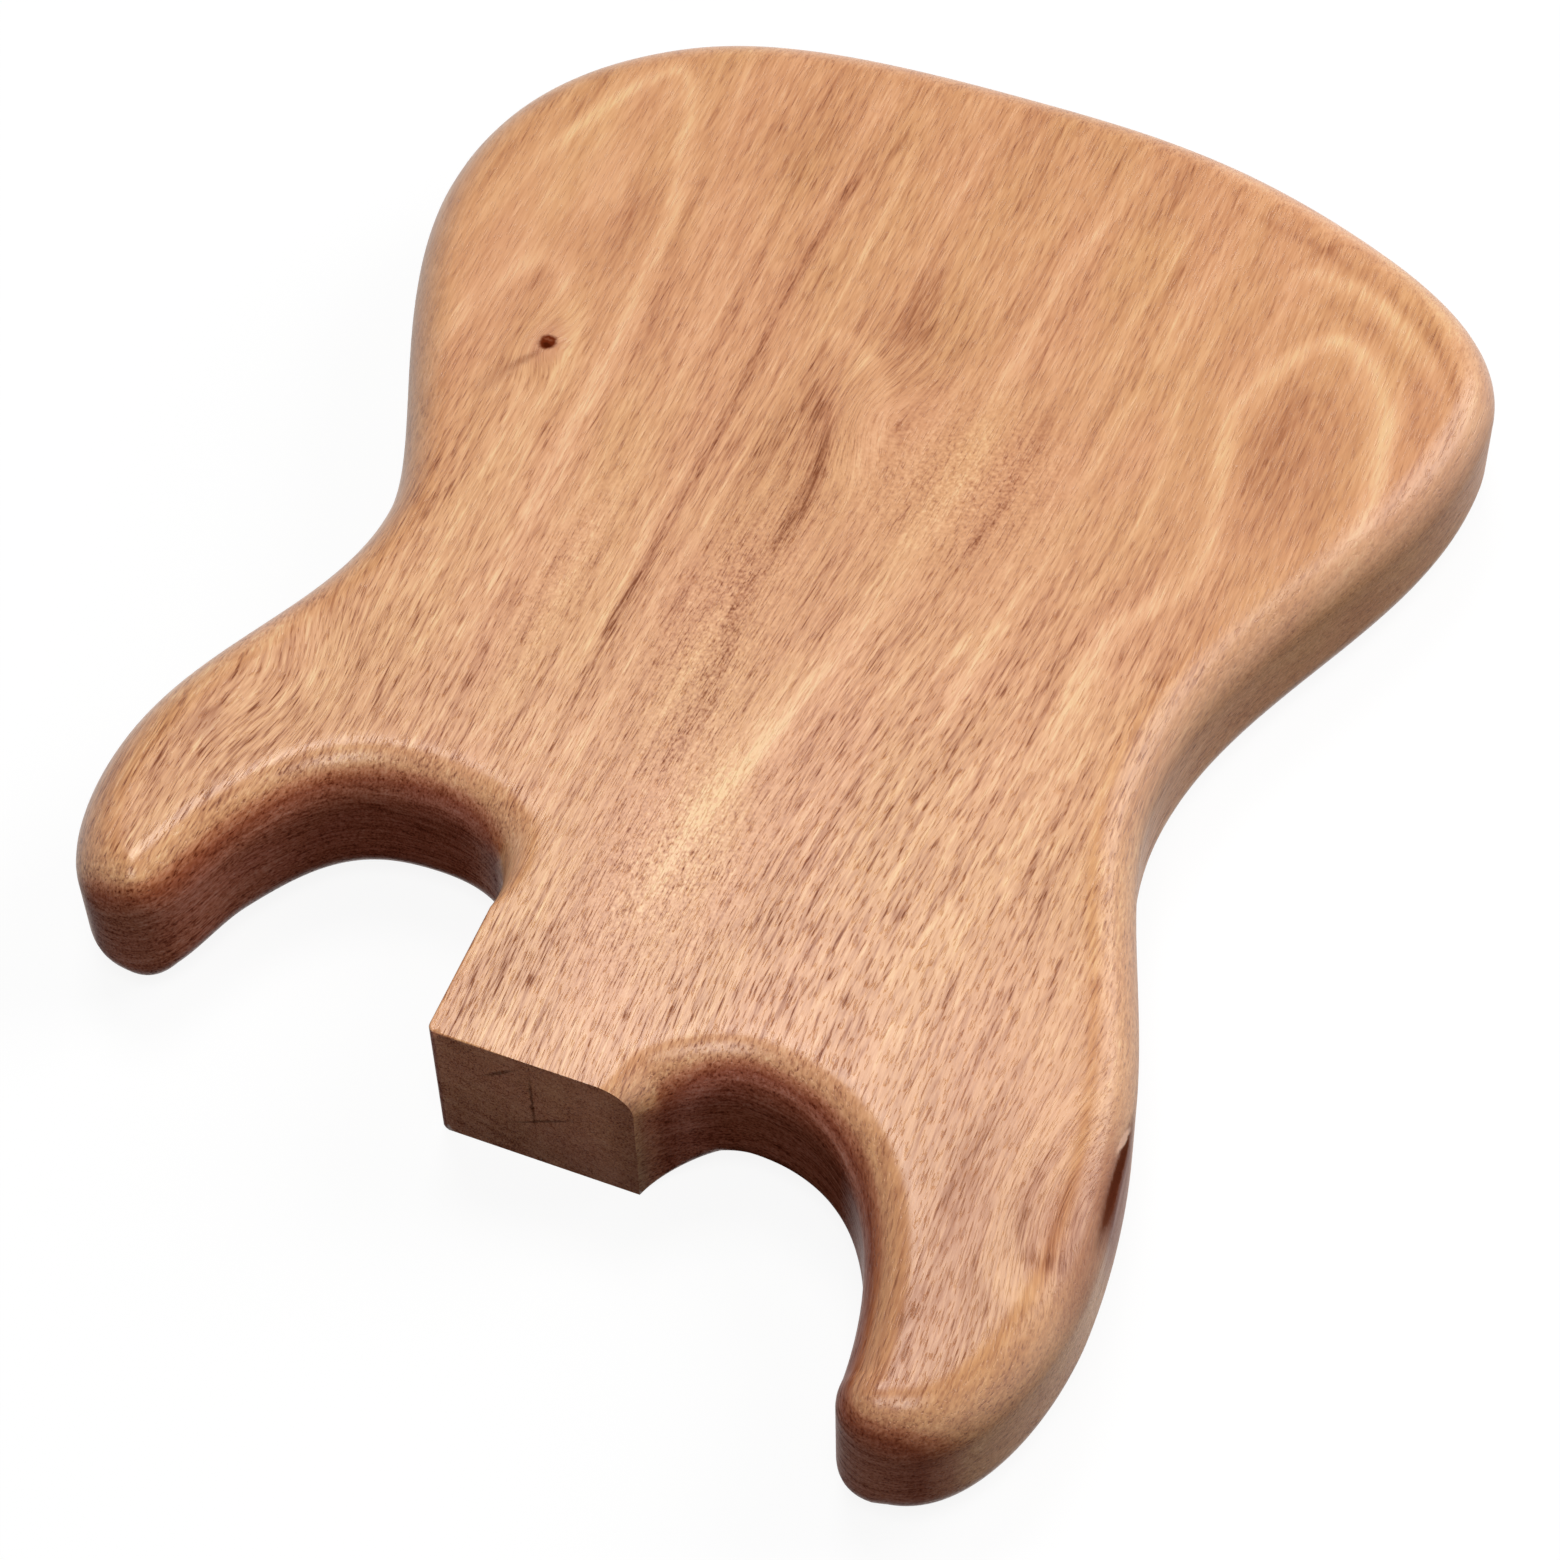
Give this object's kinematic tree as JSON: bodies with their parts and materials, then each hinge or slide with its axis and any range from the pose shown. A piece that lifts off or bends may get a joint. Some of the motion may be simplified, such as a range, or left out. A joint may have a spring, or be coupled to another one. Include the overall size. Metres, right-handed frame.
{
  "type": "electric guitar body",
  "caption": "Solid, bare wooden electric guitar body with two horns, two cutaways and a square heel, glued from boards along its centreline, flat in front and back, with rounded edges.",
  "frame": {"origin": "middle of the bounding box, on the flat back face", "axes": "+Z from the back face to the front face, +Y from the tail end to the heel and horns, +X to the treble side with the short horn; the glue line lies along Y at x = 9.25 mm"},
  "size_m": [0.2916, 0.403, 0.045],
  "materials": {
    "treble_wood": "satin",
    "bass_wood": "satin",
    "cured_glue": "satin"
  },
  "bodies": {
    "root": {"treble_board": "treble_wood", "bass_board": "bass_wood", "glue_line": "cured_glue"}
  },
  "joints": []
}
